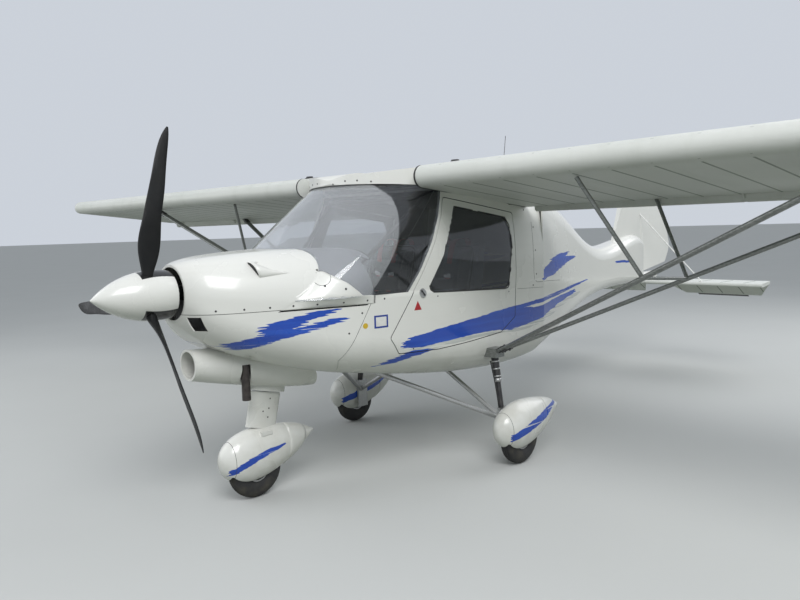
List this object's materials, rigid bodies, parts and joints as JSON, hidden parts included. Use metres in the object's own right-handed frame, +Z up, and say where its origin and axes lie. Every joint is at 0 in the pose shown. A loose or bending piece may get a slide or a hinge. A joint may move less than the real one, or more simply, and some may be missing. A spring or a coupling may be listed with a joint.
{
  "type": "ultralight aircraft",
  "caption": "Two-seat high-wing ultralight aircraft with strut-braced wings, tractor propeller, nose-wheel gear in fairings, hinged doors and moving tail surfaces.",
  "frame": {"origin": "on the ground, midway between nose and tail and between the wing tips", "axes": "+X towards the nose, +Y towards the port wing tip, +Z up"},
  "size_m": [6.2, 9.45, 2.3199],
  "materials": {
    "alloy_tube": "drawn tube, satin",
    "black_composite": "black carbon composite, satin",
    "black_steel": "black paint, satin",
    "engine_casting": "cast, dull",
    "exhaust_steel": "heat-darkened steel",
    "floor_plastic": "matt dark grey",
    "grey_plastic": "matt grey",
    "seat_fabric": "dark red woven cloth",
    "tinted_glass": "tinted clear plastic",
    "tyre": "matt black rubber",
    "wheel_alloy": "cast, satin",
    "white_gelcoat": "gloss white moulded glass fibre",
    "white_steel": "white paint",
    "wing_fabric": "white sealed polyester cover, satin"
  },
  "bodies": {
    "root": {"cowl_upper": "white_gelcoat", "cowl_lower": "white_gelcoat", "cabin_shell": "white_gelcoat", "windscreen": "tinted_glass", "rear_fuselage": "white_gelcoat", "roof_fairing": "white_gelcoat", "fin": "wing_fabric", "tail_boom": "alloy_tube", "stabiliser": "wing_fabric", "tail_stays": "white_steel", "engine_block": "engine_casting", "exhaust_pipe": "exhaust_steel", "leg_bearing": "alloy_tube", "cabin_floor": "floor_plastic", "firewall": "alloy_tube", "instrument_panel": "grey_plastic", "control_stick": "grey_plastic", "cabin_frame": "alloy_tube", "wing_left": "wing_fabric", "wing_struts_left": "alloy_tube", "jury_struts_left": "alloy_tube", "gear_arms_left": "alloy_tube", "spring_strut_left": "black_steel", "main_pant_left": "white_gelcoat", "seat_left": "seat_fabric", "wing_right": "wing_fabric", "wing_struts_right": "alloy_tube", "jury_struts_right": "alloy_tube", "gear_arms_right": "alloy_tube", "spring_strut_right": "black_steel", "main_pant_right": "white_gelcoat", "seat_right": "seat_fabric"},
    "propeller": {"propeller": "black_composite", "spinner": "white_gelcoat"},
    "nose_gear": {"nose_leg": "white_gelcoat", "nose_pant": "white_gelcoat"},
    "nose_wheel": {"nose_tyre": "tyre", "nose_rim": "wheel_alloy"},
    "main_wheel_left": {"main_tyre_left": "tyre", "main_rim_left": "wheel_alloy"},
    "main_wheel_right": {"main_tyre_right": "tyre", "main_rim_right": "wheel_alloy"},
    "door_left": {"door_left": "white_gelcoat", "door_glass_left": "tinted_glass"},
    "door_right": {"door_right": "white_gelcoat", "door_glass_right": "tinted_glass"},
    "flaperon_left": {"flaperon_left": "wing_fabric"},
    "flaperon_right": {"flaperon_right": "wing_fabric"},
    "rudder": {"rudder": "wing_fabric"},
    "elevator": {"elevator": "wing_fabric"}
  },
  "joints": [
    {"name": "propeller_spin", "type": "hinge", "parent": "root", "child": "propeller", "pos_m": [2.83, 0, 1.213], "axis": [1, 0, 0], "continuous": true},
    {"name": "nose_steer", "type": "hinge", "parent": "root", "child": "nose_gear", "pos_m": [2.134, 0, 0.606], "axis": [-0.225, 0, 0.9744], "range_deg": [-25, 25]},
    {"name": "nose_wheel_spin", "type": "hinge", "parent": "nose_gear", "child": "nose_wheel", "pos_m": [2.233, 0, 0.168], "axis": [0, 1, 0], "continuous": true},
    {"name": "main_wheel_left_spin", "type": "hinge", "parent": "root", "child": "main_wheel_left", "pos_m": [0.77, 0.8, 0.168], "axis": [0, 1, 0], "continuous": true},
    {"name": "main_wheel_right_spin", "type": "hinge", "parent": "root", "child": "main_wheel_right", "pos_m": [0.77, -0.8, 0.168], "axis": [0, 1, 0], "continuous": true},
    {"name": "door_left_swing", "type": "hinge", "parent": "root", "child": "door_left", "pos_m": [0.853, 0.6, 1.655], "axis": [0.9899, 0, 0.1414], "range_deg": [0, 75]},
    {"name": "door_right_swing", "type": "hinge", "parent": "root", "child": "door_right", "pos_m": [0.853, -0.6, 1.655], "axis": [-0.9899, 0, -0.1414], "range_deg": [0, 75]},
    {"name": "flaperon_left_hinge", "type": "hinge", "parent": "root", "child": "flaperon_left", "pos_m": [0.318, 0.64, 1.62], "axis": [0, 1, 0], "range_deg": [-30, 15]},
    {"name": "flaperon_right_hinge", "type": "hinge", "parent": "root", "child": "flaperon_right", "pos_m": [0.318, -0.64, 1.62], "axis": [0, 1, 0], "range_deg": [-30, 15]},
    {"name": "rudder_hinge", "type": "hinge", "parent": "root", "child": "rudder", "pos_m": [-2.44, 0, 1.6], "axis": [0, 0, 1], "range_deg": [-25, 25]},
    {"name": "elevator_hinge", "type": "hinge", "parent": "root", "child": "elevator", "pos_m": [-2.785, 0, 0.909], "axis": [0, 1, 0], "range_deg": [0, 55]}
  ]
}
